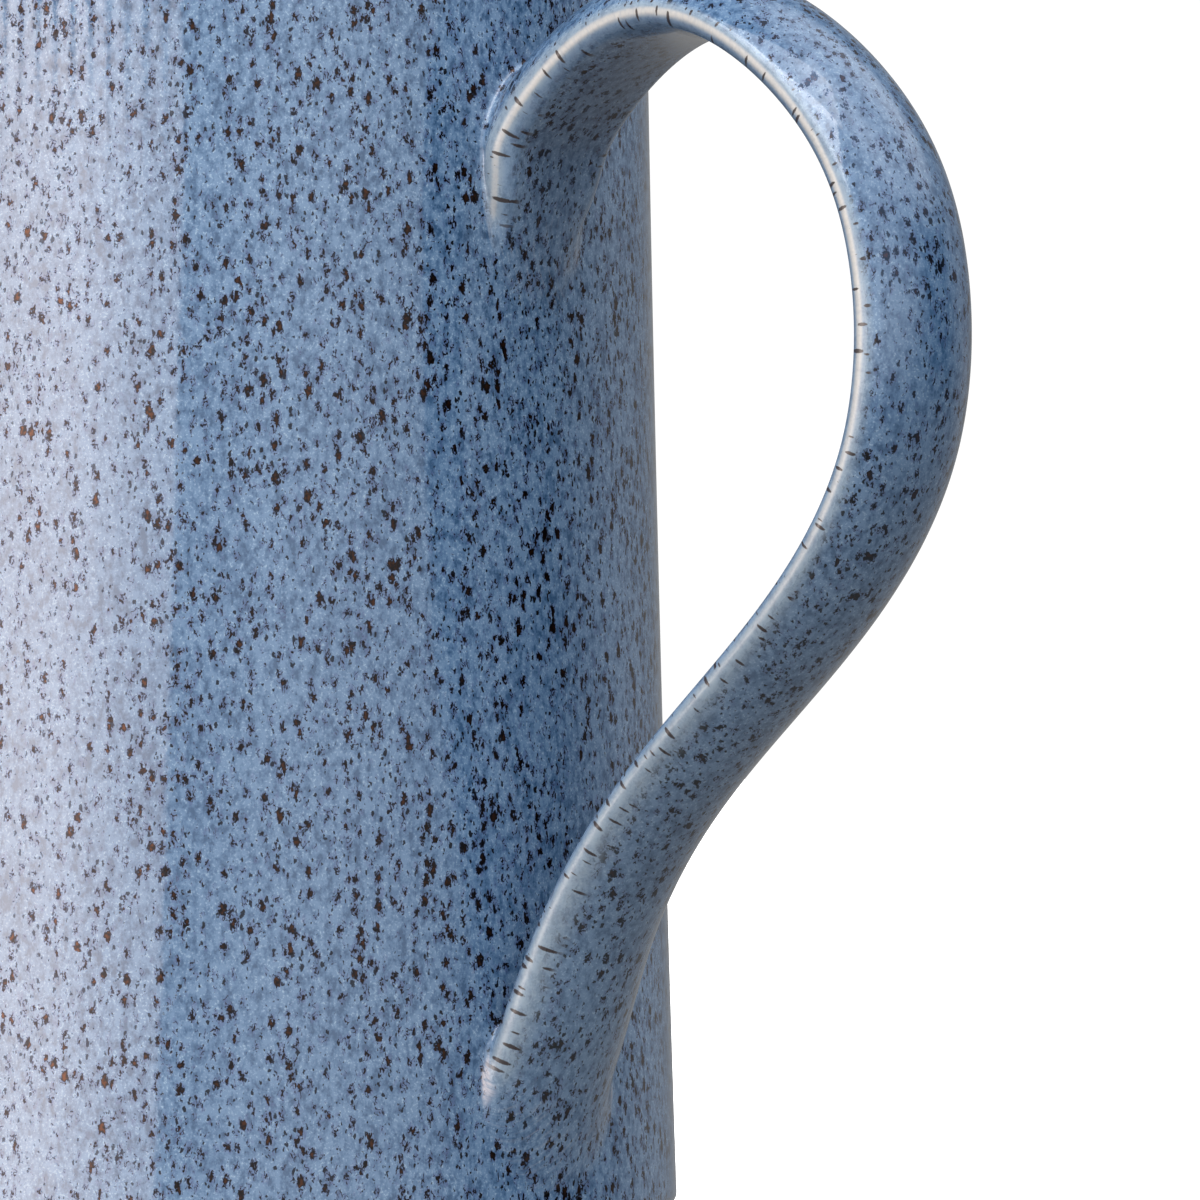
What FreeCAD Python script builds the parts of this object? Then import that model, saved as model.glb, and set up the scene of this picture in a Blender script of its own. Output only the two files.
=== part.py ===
import FreeCAD, Part
import math
import os
import Sketcher
from FreeCAD import Placement, Rotation, Vector

# A tall glazed stoneware mug with a strap handle, in millimetres.
# The origin is the centre of the circle the mug stands on, +Z is up and the
# handle points along +X.  The XZ plane is the plane of symmetry.

SIZES = {
    # thrown body, measured over its glaze
    "overall_height": 132.0,
    "rim_outer_radius": 40.9,
    "waist_radius": 42.13,
    "waist_height": 69.5,
    "belly_radius": 44.0,
    "belly_height": 3.6,
    "wall_thickness": 4.2,
    "floor_height": 6.4,
    "floor_corner_radius": 9.0,
    "glaze_thickness": 0.4,
    # turned foot, left without glaze
    "foot_outer_radius": 40.2,
    "foot_inner_radius": 35.0,
    "foot_ring_height": 1.5,
    "foot_recess_depth": 1.6,
    # strap handle, measured over its glaze
    "strap_half_width": 7.65,
    "strap_crown": 3.95,
    "strap_palm": 2.35,
    "strap_edge_radius": 1.5,
    # slip that lutes the strap to the wall
    "slip_thickness": 0.9,
    # small breaks of edge
    "inside_taper": 0.9,
    "foot_bevel": 0.5,
    "recess_draft": 0.6,
}

# Poles of the strap's centreline as (distance from the axis, height), from
# inside the wall at the lower root, out round the grip, to the upper root.
SPINE_POLES = (
    (36.5, 6.5),
    (43.0, 15.0),
    (47.6, 30.7),
    (60.2, 46.5),
    (78.4, 60.6),
    (90.7, 76.6),
    (90.7, 97.1),
    (83.4, 110.2),
    (68.3, 120.4),
    (54.0, 119.3),
    (39.6, 105.9),
    (43.0, 103.3),
    (36.5, 93.3),
)
POLE_LETTERS = "abcdefghijklm"
SPINE_DEGREE = 3
STATION_COUNT = 25

# Where the strap swells: share of the mid-grip size added at each root, and
# how far along the strap, in millimetres, the swelling reaches.
UPPER_FLARE = 0.16
LOWER_FLARE = 0.22
UPPER_FLARE_REACH = 13.0
LOWER_FLARE_REACH = 20.0
CROWN_SWELL = 0.42
CROWN_SWELL_REACH = 26.0
ARCH_SWELL = 0.055
ARCH_CENTRE = 34.0
ARCH_REACH = 18.0
# the flare's share that thickens the strap instead of widening it
CROWN_FLARE_SHARE = 0.3
PALM_FLARE_SHARE = 0.5
# The strap's last run bends down along the wall and sinks into it.  The
# swellings above are measured from where that tail begins to be buried.
TAIL_LENGTH = 15.0
TAIL_BURIED = 9.0
TAIL_TAPER = 0.42
TAIL_POWER = 1.3

doc = FreeCAD.newDocument("mug")


def make_sheet():
    """Write the driving dimensions into a spreadsheet and return it."""
    sheet = doc.addObject("Spreadsheet::Sheet", "sizes")
    row = 0
    for name, value in SIZES.items():
        row += 1
        sheet.set(f"A{row}", name)
        sheet.set(f"B{row}", str(value))
        sheet.setAlias(f"B{row}", name)
    for index, (out, up) in enumerate(SPINE_POLES):
        for name, value in (("pole_out", out), ("pole_up", up)):
            row += 1
            alias = f"{name}_{POLE_LETTERS[index]}"
            sheet.set(f"A{row}", alias)
            sheet.set(f"B{row}", str(value))
            sheet.setAlias(f"B{row}", alias)
    doc.recompute()
    return sheet


sizes = make_sheet()


def size(name):
    """One driving dimension, read back from the sheet."""
    return float(getattr(sizes, name))


def make_body(name):
    body = doc.addObject("PartDesign::Body", name)
    body.Label = name
    return body


def origin_feature(body, role):
    for feature in body.Origin.OriginFeatures:
        if feature.Role == role:
            return feature
    raise RuntimeError(f"{body.Label} has no {role}")


def make_sketch(body, name, role):
    sketch = body.newObject("Sketcher::SketchObject", name)
    sketch.AttachmentSupport = [(origin_feature(body, role), "")]
    sketch.MapMode = "FlatFace"
    return sketch


def fix_point(sketch, name, geometry, position, across, up):
    """Hold one point of a sketch at two expressions of the sheet."""
    for kind, axis, text in (("DistanceX", "x", across), ("DistanceY", "y", up)):
        value = sketch.getPoint(geometry, position)[0 if axis == "x" else 1]
        index = sketch.addConstraint(
            Sketcher.Constraint(kind, -1, 1, geometry, position, value)
        )
        label = f"{name}_{axis}"
        sketch.renameConstraint(index, label)
        sketch.setExpression(f"Constraints.{label}", text)


def evaluate(text):
    """The value now of an expression written with the sheet's names."""
    result = sizes.evalExpression(text.replace("sizes.", ""))
    return float(getattr(result, "Value", result))


def draw_profile(sketch, corners, bulges):
    """Closed outline through named corners; a bulge makes that side an arc.

    corners is a list of (name, across, up) expressions.  bulges maps a
    corner's name to a point (across, up) which the side starting there passes.
    """
    points = []
    for name, across, up in corners:
        points.append(Vector(evaluate(across), evaluate(up), 0))
    count = len(points)
    sides = []
    for index, (name, across, up) in enumerate(corners):
        start = points[index]
        end = points[(index + 1) % count]
        if name in bulges:
            middle = Vector(evaluate(bulges[name][0]), evaluate(bulges[name][1]), 0)
            arc = Part.Arc(start, middle, end)
            geometry = sketch.addGeometry(arc, False)
            # an arc is stored anticlockwise, so its first point may be the end
            first = sketch.getPoint(geometry, 1)
            forward = (first - start).Length < (first - end).Length
        else:
            geometry = sketch.addGeometry(Part.LineSegment(start, end), False)
            forward = True
        sides.append((geometry, 1 if forward else 2, 2 if forward else 1))
    for index, (geometry, first, last) in enumerate(sides):
        after, after_first, after_last = sides[(index + 1) % count]
        sketch.addConstraint(
            Sketcher.Constraint("Coincident", geometry, last, after, after_first)
        )
    for index, (name, across, up) in enumerate(corners):
        geometry, first, last = sides[index]
        fix_point(sketch, name, geometry, first, across, up)
    for name, (across, up) in bulges.items():
        index = [corner[0] for corner in corners].index(name)
        point = sketch.addGeometry(
            Part.Point(Vector(evaluate(across), evaluate(up), 0)), True
        )
        sketch.addConstraint(
            Sketcher.Constraint("PointOnObject", point, 1, sides[index][0])
        )
        fix_point(sketch, f"{name}_pass", point, 1, across, up)


def revolve(body, sketch, name, kind="PartDesign::Revolution"):
    feature = body.newObject(kind, name)
    feature.Profile = sketch
    feature.ReferenceAxis = (sketch, ["V_Axis"])
    feature.Angle = 360.0
    body.Tip = feature
    return feature


# ---------------------------------------------------------------- body shapes

WALL = "sizes.wall_thickness"
COAT = "sizes.glaze_thickness"
RIM_OUT = "sizes.rim_outer_radius"
TOP = "sizes.overall_height"
WAIST = ("sizes.waist_radius", "sizes.waist_height")
BELLY_OUT = "sizes.belly_radius"
BELLY_UP = "sizes.belly_height"
FOOT_OUT = "sizes.foot_outer_radius"
FOOT_IN = "sizes.foot_inner_radius"
FLOOR_UP = "sizes.floor_height"
CORNER = "sizes.floor_corner_radius"
RING_UP = "sizes.foot_ring_height"
BEVEL = "sizes.foot_bevel"
HALF_WALL = f"{WALL} / 2"
# where a quarter turn passes, as a share of its radius
QUARTER = 1.0 - math.sqrt(0.5)


def outer_line(offset):
    """Corners down the outside, inside the glazed surface by an offset."""
    corners = [
        ("crest", f"{RIM_OUT} - {HALF_WALL}", f"{TOP} - {offset}"),
        ("shoulder", f"{RIM_OUT} - {offset}", f"{TOP} - {HALF_WALL}"),
        ("waist", f"{WAIST[0]} - {offset}", WAIST[1]),
        ("belly", f"{BELLY_OUT} - {offset}", BELLY_UP),
        ("foot_top", FOOT_OUT, f"{RING_UP} + {offset}"),
    ]
    turn = f"({HALF_WALL} - {offset})"
    belly_turn = f"({BELLY_OUT} - {offset} - {FOOT_OUT})"
    belly_drop = f"({BELLY_UP} - {RING_UP} - {offset})"
    bulges = {
        "crest": (
            f"{RIM_OUT} - {HALF_WALL} + {turn} * {1 - QUARTER}",
            f"{TOP} - {HALF_WALL} + {turn} * {1 - QUARTER}",
        ),
        "belly": (
            f"{BELLY_OUT} - {offset} - {belly_turn} * {QUARTER}",
            f"{BELLY_UP} - {belly_drop} * {1 - QUARTER}",
        ),
    }
    return corners, bulges


def inner_line(offset):
    """Corners up the inside, outside the glazed surface by an offset."""
    inside_low = f"({BELLY_OUT} - {WALL} - sizes.inside_taper)"
    corners = [
        ("floor_mid", "0", f"{FLOOR_UP} - {offset}"),
        ("floor_edge", f"{inside_low} - {CORNER}", f"{FLOOR_UP} - {offset}"),
        ("inside_low", f"{inside_low} + {offset}", f"{FLOOR_UP} + {CORNER}"),
        ("inside_waist", f"{WAIST[0]} - {WALL} + {offset}", WAIST[1]),
        ("inside_lip", f"{RIM_OUT} - {WALL} + {offset}", f"{TOP} - {HALF_WALL}"),
    ]
    turn = f"({HALF_WALL} - {offset})"
    corner_turn = f"({CORNER} + {offset})"
    bulges = {
        "floor_edge": (
            f"{inside_low} - {CORNER} + {corner_turn} * {1 - QUARTER}",
            f"{FLOOR_UP} + {CORNER} - {corner_turn} * {1 - QUARTER}",
        ),
        "inside_lip": (
            f"{RIM_OUT} - {HALF_WALL} - {turn} * {1 - QUARTER}",
            f"{TOP} - {HALF_WALL} + {turn} * {1 - QUARTER}",
        ),
    }
    return corners, bulges


def with_crest(offset):
    """The inside line carried on to the crest of the rim."""
    corners, bulges = inner_line(offset)
    crest = ("lip_crest", f"{RIM_OUT} - {HALF_WALL}", f"{TOP} - {offset}")
    return corners + [crest], bulges


def make_clay_body():
    """The thrown wall, floor and turned foot as one revolved piece."""
    body = make_body("body")
    outside, outside_bulges = outer_line(COAT)
    inside, inside_bulges = inner_line(COAT)
    foot = [
        ("foot_side", FOOT_OUT, BEVEL),
        ("foot_bevel", f"{FOOT_OUT} - {BEVEL}", "0"),
        ("ring_out", f"{FOOT_IN} + {BEVEL}", "0"),
        ("ring_in", FOOT_IN, BEVEL),
        ("recess_edge", f"{FOOT_IN} - sizes.recess_draft", "sizes.foot_recess_depth"),
        ("recess_mid", "0", "sizes.foot_recess_depth"),
    ]
    bulges = dict(outside_bulges)
    bulges.update(inside_bulges)
    sketch = make_sketch(body, "wall_section", "XZ_Plane")
    draw_profile(sketch, outside + foot + inside, bulges)
    revolve(body, sketch, "thrown_form")
    return body


def make_coat(name, near, near_bulges, far, far_bulges):
    """A thin revolved coat between two outlines of the same side."""
    body = make_body(name)
    renamed = {}
    back = []
    ordered = list(reversed(far))
    for index, (corner, across, up) in enumerate(ordered):
        back.append((f"back_{corner}", across, up))
        # walking the outline backwards, a side's bulge is named by its far end
        if index + 1 < len(ordered) and ordered[index + 1][0] in far_bulges:
            renamed[f"back_{corner}"] = far_bulges[ordered[index + 1][0]]
    bulges = dict(near_bulges)
    bulges.update(renamed)
    sketch = make_sketch(body, f"{name}_section", "XZ_Plane")
    draw_profile(sketch, near + back, bulges)
    revolve(body, sketch, f"{name}_coat")
    return body


# -------------------------------------------------------------- strap handle


def spine_curve():
    curve = Part.BSplineCurve()
    poles = []
    for letter in POLE_LETTERS:
        poles.append(Vector(size(f"pole_out_{letter}"), 0, size(f"pole_up_{letter}")))
    inner = len(poles) - SPINE_DEGREE + 1
    knots = [float(index) for index in range(inner)]
    repeats = [1] * inner
    repeats[0] = SPINE_DEGREE + 1
    repeats[-1] = SPINE_DEGREE + 1
    curve.buildFromPolesMultsKnots(poles, repeats, knots, False, SPINE_DEGREE)
    return curve


def bell(distance, reach):
    return math.exp(-((distance / reach) ** 2))


def stations():
    """Evenly spaced places along the spine, with the strap's local swelling."""
    curve = spine_curve()
    total = curve.length()
    result = []
    for index in range(STATION_COUNT):
        along = total * index / (STATION_COUNT - 1)
        parameter = curve.parameterAtDistance(along, curve.FirstParameter)
        point = curve.value(parameter)
        tangent = curve.tangent(parameter)[0]
        from_end = total - along
        from_upper = from_end - TAIL_BURIED
        flare = LOWER_FLARE * bell(along, LOWER_FLARE_REACH)
        flare += UPPER_FLARE * bell(from_upper, UPPER_FLARE_REACH)
        arch = ARCH_SWELL * bell(from_upper - ARCH_CENTRE, ARCH_REACH)
        crown = CROWN_SWELL * bell(from_upper, CROWN_SWELL_REACH)
        tail = max(0.0, 1.0 - from_end / TAIL_LENGTH) ** TAIL_POWER
        width = (1.0 + flare + arch) * (1.0 - TAIL_TAPER * tail)
        result.append(
            {
                "point": point,
                "tilt": math.degrees(math.atan2(tangent.x, tangent.z)),
                "width": width,
                "crown": 1.0 + crown + flare * CROWN_FLARE_SHARE,
                "palm": 1.0 + flare * PALM_FLARE_SHARE,
            }
        )
    return result


STATIONS = stations()


def draw_strap_section(sketch, station, inset):
    """Crowned outside, gentler palm side, and two rounded edges."""
    half = f"(sizes.strap_half_width * {station['width']:.4f})"
    edge = f"(sizes.strap_edge_radius - {inset})"
    edge_offset = f"{half} - sizes.strap_edge_radius"
    crown = f"sizes.strap_crown * {station['crown']:.4f} - {inset}"
    palm = f"sizes.strap_palm * {station['palm']:.4f} - {inset}"
    b = evaluate(edge_offset)
    e = evaluate(edge)
    c = evaluate(crown)
    p = evaluate(palm)
    crown_radius = (c * c + b * b - e * e) / (2.0 * (c - e))
    palm_radius = (p * p + b * b - e * e) / (2.0 * (p - e))
    crown_centre = Vector(c - crown_radius, 0, 0)
    palm_centre = Vector(palm_radius - p, 0, 0)

    def touch(centre, radius, side):
        edge_centre = Vector(0, side * b, 0)
        direction = (edge_centre - centre).normalize()
        return centre + direction * radius

    crown_low = touch(crown_centre, crown_radius, -1)
    crown_high = touch(crown_centre, crown_radius, 1)
    palm_low = touch(palm_centre, palm_radius, -1)
    palm_high = touch(palm_centre, palm_radius, 1)
    arcs = (
        Part.Arc(crown_low, Vector(c, 0, 0), crown_high),
        Part.Arc(crown_high, Vector(0, b + e, 0), palm_high),
        Part.Arc(palm_high, Vector(-p, 0, 0), palm_low),
        Part.Arc(palm_low, Vector(0, -b - e, 0), crown_low),
    )
    for arc in arcs:
        sketch.addGeometry(arc, False)
    crown_point = sketch.addGeometry(Part.Point(Vector(c, 0, 0)), True)
    palm_point = sketch.addGeometry(Part.Point(Vector(-p, 0, 0)), True)
    for index in range(4):
        after = (index + 1) % 4
        sketch.addConstraint(Sketcher.Constraint("Tangent", index, 2, after, 1))
    for arc in (0, 2):
        sketch.addConstraint(Sketcher.Constraint("PointOnObject", arc, 3, -1))
    for arc in (1, 3):
        sketch.addConstraint(Sketcher.Constraint("PointOnObject", arc, 3, -2))
    for point, arc in ((crown_point, 0), (palm_point, 2)):
        sketch.addConstraint(Sketcher.Constraint("PointOnObject", point, 1, arc))
        sketch.addConstraint(Sketcher.Constraint("PointOnObject", point, 1, -1))
    driven = (
        ("crown", Sketcher.Constraint("DistanceX", -1, 1, crown_point, 1, c), crown),
        ("palm", Sketcher.Constraint("DistanceX", palm_point, 1, -1, 1, p), palm),
        ("edge_offset", Sketcher.Constraint("DistanceY", -1, 1, 1, 3, b), edge_offset),
        ("edge_radius", Sketcher.Constraint("Radius", 1, e), edge),
    )
    for name, constraint, text in driven:
        index = sketch.addConstraint(constraint)
        sketch.renameConstraint(index, name)
        sketch.setExpression(f"Constraints.{name}", text)


def loft_strap(body, name, inset, first=0, last=STATION_COUNT, kind="Additive"):
    """Loft a run of strap sections into a body, or out of it."""
    profiles = []
    for index in range(first, last):
        station = STATIONS[index]
        sketch = make_sketch(body, f"{name}_{index:02d}", "XY_Plane")
        sketch.AttachmentOffset = Placement(
            station["point"], Rotation(Vector(0, 1, 0), station["tilt"])
        )
        draw_strap_section(sketch, station, inset)
        profiles.append(sketch)
    doc.recompute()
    loft = body.newObject(f"PartDesign::{kind}Loft", f"{name}_loft")
    loft.Profile = profiles[0]
    loft.Sections = profiles[1:]
    loft.Ruled = False
    loft.Closed = False
    body.Tip = loft
    return loft


# how far the trimming cuts run past the mug and past its handle
MARGIN = "20"
HANDLE_SPAN = "70"


def groove_wall(body, name, offset):
    """Take away all that lies within the wall's outside plus an offset."""
    sketch = make_sketch(body, f"{name}_section", "XZ_Plane")
    corners = [
        ("axis_top", "0", f"{TOP} + {MARGIN}"),
        ("out_top", f"{RIM_OUT} + {offset}", f"{TOP} + {MARGIN}"),
        ("rim", f"{RIM_OUT} + {offset}", f"{TOP} - {HALF_WALL}"),
        ("waist", f"{WAIST[0]} + {offset}", WAIST[1]),
        ("belly", f"{BELLY_OUT} + {offset}", BELLY_UP),
        ("out_low", f"{BELLY_OUT} + {offset}", f"0 - {MARGIN}"),
        ("axis_low", "0", f"0 - {MARGIN}"),
    ]
    draw_profile(sketch, corners, {})
    return revolve(body, sketch, name, "PartDesign::Groove")


def trim_outside(body, name, offset):
    """Take away all that lies beyond the wall's outside plus an offset."""
    sketch = make_sketch(body, f"{name}_section", "XZ_Plane")
    reach = f"{BELLY_OUT} + {HANDLE_SPAN}"
    corners = [
        ("out_top", f"{RIM_OUT} + {offset}", f"{TOP} + {MARGIN}"),
        ("rim", f"{RIM_OUT} + {offset}", f"{TOP} - {HALF_WALL}"),
        ("waist", f"{WAIST[0]} + {offset}", WAIST[1]),
        ("belly", f"{BELLY_OUT} + {offset}", BELLY_UP),
        ("out_low", f"{BELLY_OUT} + {offset}", f"0 - {MARGIN}"),
        ("far_low", reach, f"0 - {MARGIN}"),
        ("far_top", reach, f"{TOP} + {MARGIN}"),
    ]
    draw_profile(sketch, corners, {})
    return revolve(body, sketch, name, "PartDesign::Groove")


SLIP = "sizes.slip_thickness"
# stations that span each root, counted from the lower end
LOWER_ROOT = (0, 9)
UPPER_ROOT = (STATION_COUNT - 8, STATION_COUNT)


def make_handle():
    body = make_body("handle")
    loft_strap(body, "strap", COAT)
    groove_wall(body, "seat_cut", f"{SLIP} - {COAT}")
    return body


def make_slip_joint(name, root):
    body = make_body(name)
    loft_strap(body, "root", COAT, root[0], root[1])
    groove_wall(body, "wall_cut", f"0 - {COAT}")
    trim_outside(body, "outer_cut", f"{SLIP} - {COAT}")
    return body


def make_handle_glaze():
    body = make_body("handle_glaze")
    loft_strap(body, "skin", "0")
    loft_strap(body, "core", COAT, 0, STATION_COUNT, "Subtractive")
    groove_wall(body, "wall_cut", "0")
    return body


make_clay_body()
make_coat("exterior_glaze", *outer_line("0"), *outer_line(COAT))
make_coat("interior_glaze", *with_crest("0"), *with_crest(COAT))
loft_strap(
    doc.getObject("exterior_glaze"), "root_hole", COAT, 0, STATION_COUNT, "Subtractive"
)
make_handle()
make_slip_joint("lower_slip_joint", LOWER_ROOT)
make_slip_joint("upper_slip_joint", UPPER_ROOT)
make_handle_glaze()

doc.recompute()

NODES = (
    "body",
    "exterior_glaze",
    "interior_glaze",
    "handle",
    "handle_glaze",
    "upper_slip_joint",
    "lower_slip_joint",
)

for item in doc.Objects:
    if "Invalid" in item.State or "Error" in item.State:
        raise RuntimeError(f"{item.Name} did not build: {item.State}")

os.makedirs("parts", exist_ok=True)
for name in NODES:
    node = doc.getObject(name)
    shape = node.Shape
    if shape.isNull() or not shape.isValid() or not shape.Solids:
        raise RuntimeError(f"{name} has no valid solid")
    shape.exportStep(f"parts/{name}.step")
    box = shape.BoundBox
    print(
        f"{name}: {len(shape.Solids)} solid, {shape.Volume / 1000.0:.2f} cm3,"
        f" x {box.XMin:.1f}..{box.XMax:.1f}, z {box.ZMin:.1f}..{box.ZMax:.1f}"
    )
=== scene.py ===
import math

import bmesh
import bpy
import numpy as np
from mathutils import Matrix, Vector


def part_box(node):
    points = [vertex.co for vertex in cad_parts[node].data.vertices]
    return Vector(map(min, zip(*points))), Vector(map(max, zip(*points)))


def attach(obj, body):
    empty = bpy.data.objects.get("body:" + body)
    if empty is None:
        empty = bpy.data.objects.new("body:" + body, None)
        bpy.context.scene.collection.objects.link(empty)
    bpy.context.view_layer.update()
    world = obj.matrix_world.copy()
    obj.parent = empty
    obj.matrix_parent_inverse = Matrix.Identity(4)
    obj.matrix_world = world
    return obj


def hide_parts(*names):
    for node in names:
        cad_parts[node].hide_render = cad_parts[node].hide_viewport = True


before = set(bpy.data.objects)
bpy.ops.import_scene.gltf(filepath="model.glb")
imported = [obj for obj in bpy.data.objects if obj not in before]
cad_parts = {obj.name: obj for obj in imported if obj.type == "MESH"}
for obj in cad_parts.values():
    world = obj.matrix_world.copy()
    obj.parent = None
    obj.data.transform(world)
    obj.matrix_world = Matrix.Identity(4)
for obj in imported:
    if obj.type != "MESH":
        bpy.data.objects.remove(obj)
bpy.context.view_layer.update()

MM = 0.001

# ------------------------------------------------------------------ the mug's shape, in mm
# Outer radius of the glazed wall at a height: it flares very slightly towards the foot.
# The three values are a quadratic that a solver fitted to the photo's right-hand outline;
# they aren't worked out from the frame.
WALL_LOW_RADIUS = 44.14
WALL_TAPER = 0.033797
WALL_HOLLOW = 6.945e-5
BODY_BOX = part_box("exterior_glaze")
RIM_TOP = BODY_BOX[1][2] / MM
FOOT_LOW = 1.5
BELLY_UP = 3.6
FOOT_RADIUS = 40.2
WALL = 4.2
COAT = 0.37
FLOOR_UP = 6.4
CORNER = 9.0

# Poles of the strap's centreline: (distance from the axis, height), as in the CAD part.
# The first two were given; the others are a solver's fit to the photo's contours.
SPINE_POLES = np.array([
    (36.5, 6.5), (43.0, 15.0), (47.6, 30.7), (60.2, 46.5), (78.4, 60.6), (90.7, 76.6),
    (90.7, 97.1), (83.4, 110.2), (68.3, 120.4), (54.0, 119.3), (39.6, 105.9), (43.0, 103.3),
    (36.5, 93.3),
])
HALF_WIDTH = 7.65
CROWN = 3.95
PALM = 2.35
EDGE = 1.5


def wall_radius(z):
    return WALL_LOW_RADIUS - WALL_TAPER * z + WALL_HOLLOW * z * z


def grid_mesh(name, points, close_across, attributes=None, caps=()):
    """A mesh from a grid of points (rows, columns, 3) in mm, joined round its columns."""
    rows, columns, _ = points.shape
    vertices = [tuple(p) for p in (points.reshape(-1, 3) * MM)]
    faces = []
    last = columns if close_across else columns - 1
    for r in range(rows - 1):
        for c in range(last):
            d = (c + 1) % columns
            here, above = r * columns, (r + 1) * columns
            faces.append((here + c, here + d, above + d, above + c))
    for row, flip in caps:
        middle = len(vertices)
        vertices.append(tuple(points[row].mean(axis=0) * MM))
        for c in range(columns):
            a, b = row * columns + c, row * columns + (c + 1) % columns
            faces.append((middle, b, a) if flip else (middle, a, b))
    mesh = bpy.data.meshes.new(name)
    mesh.from_pydata(vertices, [], faces)
    mesh.update()
    for key, values in (attributes or {}).items():
        flat = np.zeros(len(vertices), np.float32)
        flat[: rows * columns] = np.asarray(values, np.float32).reshape(-1)
        mesh.attributes.new(key, "FLOAT", "POINT").data.foreach_set("value", flat)
    mesh.polygons.foreach_set("use_smooth", [True] * len(mesh.polygons))
    obj = bpy.data.objects.new(name, mesh)
    bpy.context.scene.collection.objects.link(obj)
    return obj


def revolve(name, profile, segments):
    """Turn a closed profile of (radius, height) round the axis."""
    angle = np.linspace(0, 2 * math.pi, segments, endpoint=False)
    ring = np.array(profile)
    points = np.stack([
        ring[:, None, 0] * np.cos(angle),
        ring[:, None, 0] * np.sin(angle),
        np.repeat(ring[:, 1:2], segments, axis=1),
    ], axis=-1)
    points = np.concatenate([points, points[:1]], axis=0)
    return weld(grid_mesh(name, points, True))


def weld(obj):
    """Join vertices that coincide and turn all faces outwards."""
    mesh = bmesh.new()
    mesh.from_mesh(obj.data)
    bmesh.ops.remove_doubles(mesh, verts=mesh.verts, dist=1e-7)
    bmesh.ops.recalc_face_normals(mesh, faces=mesh.faces)
    mesh.to_mesh(obj.data)
    mesh.free()
    return obj


def arc(centre, radius, start, end, count):
    """Points on a circle between two angles in degrees."""
    turn = np.radians(np.linspace(start, end, count))
    return [(centre[0] + radius * math.cos(t), centre[1] + radius * math.sin(t)) for t in turn]


def outer_profile(offset, step):
    """Down the outside from the rim's crest to the foot, inside the glaze surface by an offset."""
    half = WALL / 2
    rim = wall_radius(RIM_TOP - half)
    line = arc((rim - half, RIM_TOP - half), half - offset, 90, 0, 14)
    for z in np.arange(RIM_TOP - half - step, BELLY_UP + 0.01, -step):
        line.append((wall_radius(z) - offset, float(z)))
    low = wall_radius(BELLY_UP)
    across = low - offset - FOOT_RADIUS
    down = BELLY_UP - FOOT_LOW - offset
    for t in np.radians(np.linspace(0, 90, 16)):
        line.append((FOOT_RADIUS + across * math.cos(t), BELLY_UP - down * math.sin(t)))
    return line


def inner_profile(offset, step):
    """From the rim's crest down the inside and across the floor to the axis."""
    half = WALL / 2
    rim = wall_radius(RIM_TOP - half)
    line = arc((rim - half, RIM_TOP - half), half - offset, 90, 180, 14)
    low = wall_radius(FLOOR_UP + CORNER) - WALL
    for z in np.arange(RIM_TOP - half - step, FLOOR_UP + CORNER + 0.01, -step):
        line.append((wall_radius(z) - WALL + offset, float(z)))
    for t in np.radians(np.linspace(0, 90, 18)):
        out = (CORNER + offset) * math.cos(t)
        down = (CORNER + offset) * math.sin(t)
        line.append((low - CORNER + out, FLOOR_UP + CORNER - down))
    for share in np.linspace(0.93, 0.0, 14):
        line.append(((low - CORNER) * share + 1e-4, FLOOR_UP - offset))
    return line


def shell(name, near, far, segments):
    return revolve(name, near + far[::-1], segments)


exterior = shell("exterior_coat", outer_profile(0, 1.0), outer_profile(COAT, 4.0), 512)
interior = shell("interior_coat", inner_profile(0, 1.5), inner_profile(COAT, 4.0), 256)

# ------------------------------------------------------------------ strap handle


def spline_basis(count, degree, at):
    """Clamped uniform B-spline basis functions at the given parameters."""
    last = count - degree
    knots = np.concatenate([[0] * degree, np.arange(last + 1), [last] * degree]).astype(float)
    at = np.clip(at, 0, last - 1e-9)
    spans = range(len(knots) - 1)
    basis = np.array([(knots[i] <= at) & (at < knots[i + 1]) for i in spans], float)
    for d in range(1, degree + 1):
        following = []
        for i in range(len(knots) - 1 - d):
            left = knots[i + d] - knots[i]
            right = knots[i + d + 1] - knots[i + 1]
            value = np.zeros_like(at)
            if left > 0:
                value = value + (at - knots[i]) / left * basis[i]
            if right > 0:
                value = value + (knots[i + d + 1] - at) / right * basis[i + 1]
            following.append(value)
        basis = np.array(following)
    return basis


def spine(samples):
    """Evenly spaced points on the centreline, unit tangents, and distance along it."""
    count = len(SPINE_POLES)
    fine = np.linspace(0, count - 3, 6000)
    line = spline_basis(count, 3, fine).T @ SPINE_POLES
    along = np.concatenate([[0], np.cumsum(np.hypot(*np.diff(line, axis=0).T))])
    even = np.linspace(0, along[-1], samples)
    points = np.stack([np.interp(even, along, line[:, k]) for k in range(2)], axis=-1)
    tangent = np.gradient(points, axis=0)
    tangent /= np.linalg.norm(tangent, axis=1)[:, None]
    return points, tangent, even


def bell(x, reach):
    return np.exp(-((x / reach) ** 2))


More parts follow.
